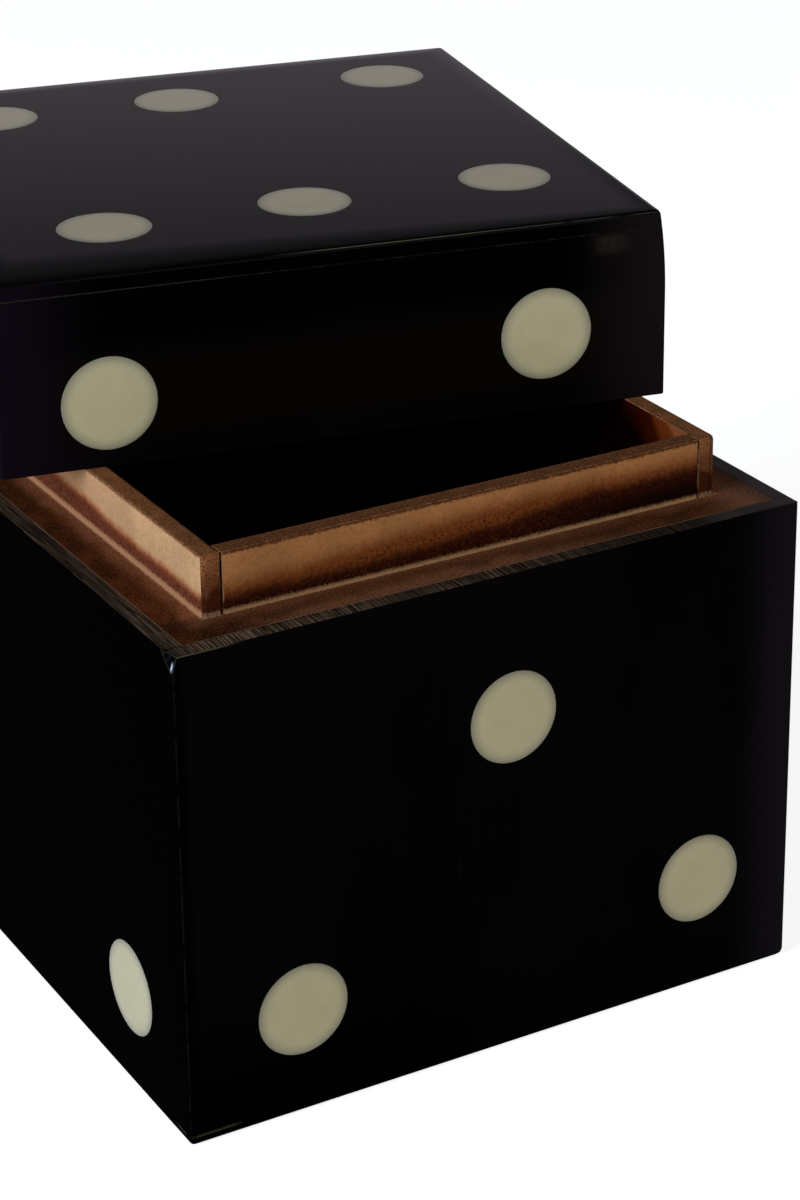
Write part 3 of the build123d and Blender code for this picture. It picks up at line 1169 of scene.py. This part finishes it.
def rays(tree, first, *others):
    """1 for light rays of the named kinds and 0 for all others."""
    path = add_node(tree, "ShaderNodeLightPath")
    found = Measure(path.outputs[f"Is {first} Ray"])
    for kind in others:
        found = found.larger(path.outputs[f"Is {kind} Ray"])
    return found


def add_floor():
    """A pale floor that takes shadows and shows white itself."""
    bpy.ops.mesh.primitive_plane_add(size=30, location=(0, 0, -0.1 * MM))
    floor = bpy.context.active_object
    floor.name = "floor"
    apply_place(floor)
    material = bpy.data.materials.new("pale_floor")
    material.use_nodes = True
    tree = material.node_tree
    matt = tree.nodes["Principled BSDF"]
    plug(matt, {"Base Color": (*FLOOR_GREY, 1.0), "Roughness": 1.0, "Specular IOR Level": 0.0})
    seen = rays(tree, "Camera", "Glossy", "Transmission")
    shine = {"Color": (*WHITE, 1.0), "Strength": seen * FLOOR_GLOW}
    glow = add_node(tree, "ShaderNodeEmission", shine)
    both = add_node(tree, "ShaderNodeAddShader", {0: matt.outputs[0], 1: glow.outputs[0]})
    plug(tree.nodes["Material Output"], {"Surface": both.outputs[0]})
    floor.data.materials.append(material)


def add_world():
    """A soft studio: light about the horizon, dim overhead, white where it is seen directly."""
    world = bpy.context.scene.world or bpy.data.worlds.new("studio")
    bpy.context.scene.world = world
    world.use_nodes = True
    tree = world.node_tree
    tree.nodes.clear()
    around = add_node(tree, "ShaderNodeTexCoord").outputs["Generated"]
    up = Measure(add_node(tree, "ShaderNodeSeparateXYZ", {0: around}).outputs[2])
    glossy = rays(tree, "Glossy")
    mirrored = up.fade(0.24, 0.38, 0.87, 0.10) * glossy
    light = up.fade(0.10, 0.60, 0.30, 0.06)
    strength = light.larger(mirrored).larger(rays(tree, "Camera", "Transmission"))
    cast = blend(tree, glossy, WHITE, MIRRORED_WHITE)
    background = add_node(tree, "ShaderNodeBackground", {"Color": cast, "Strength": strength})
    add_node(tree, "ShaderNodeOutputWorld", {"Surface": background.outputs[0]})


class DICEBOX_OT_set_stage(bpy.types.Operator):
    """Sets the pale floor, the soft light and the camera"""
    bl_idname = "dicebox.set_stage"
    bl_label = "Set stage"

    def execute(self, context):
        context.scene.view_settings.view_transform = "Standard"
        add_camera()
        add_lamps()
        add_floor()
        add_world()
        return {"FINISHED"}


# ---- panel and run ----------------------------------------------------------------------
STEPS = (
    DICEBOX_OT_set_stage, DICEBOX_OT_clad_box, DICEBOX_OT_clad_lid, DICEBOX_OT_set_pips,
    DICEBOX_OT_fit_lip, DICEBOX_OT_stain_boards,
)


class DICEBOX_PT_panel(bpy.types.Panel):
    """Steps, sizes and colours of the dice box"""
    bl_idname = "DICEBOX_PT_panel"
    bl_label = "Dice Box"
    bl_space_type = "VIEW_3D"
    bl_region_type = "UI"
    bl_category = "Dice Box"

    def draw(self, context):
        layout = self.layout
        for step in STEPS:
            layout.operator(step.bl_idname)
        for group in (context.scene.dicebox_sizes, context.scene.dicebox_colours):
            box = layout.box()
            for name in group.__annotations__:
                box.prop(group, name)


CLASSES = (DICEBOX_PG_sizes, DICEBOX_PG_colours, *STEPS, DICEBOX_PT_panel)


def register():
    for item in CLASSES:
        bpy.utils.register_class(item)
    bpy.types.Scene.dicebox_sizes = bpy.props.PointerProperty(type=DICEBOX_PG_sizes)
    bpy.types.Scene.dicebox_colours = bpy.props.PointerProperty(type=DICEBOX_PG_colours)


def unregister():
    del bpy.types.Scene.dicebox_colours
    del bpy.types.Scene.dicebox_sizes
    for item in reversed(CLASSES):
        bpy.utils.unregister_class(item)


def main():
    register()
    for step in STEPS:
        area, name = step.bl_idname.split(".")
        getattr(getattr(bpy.ops, area), name)()


if __name__ == "__main__":
    main()
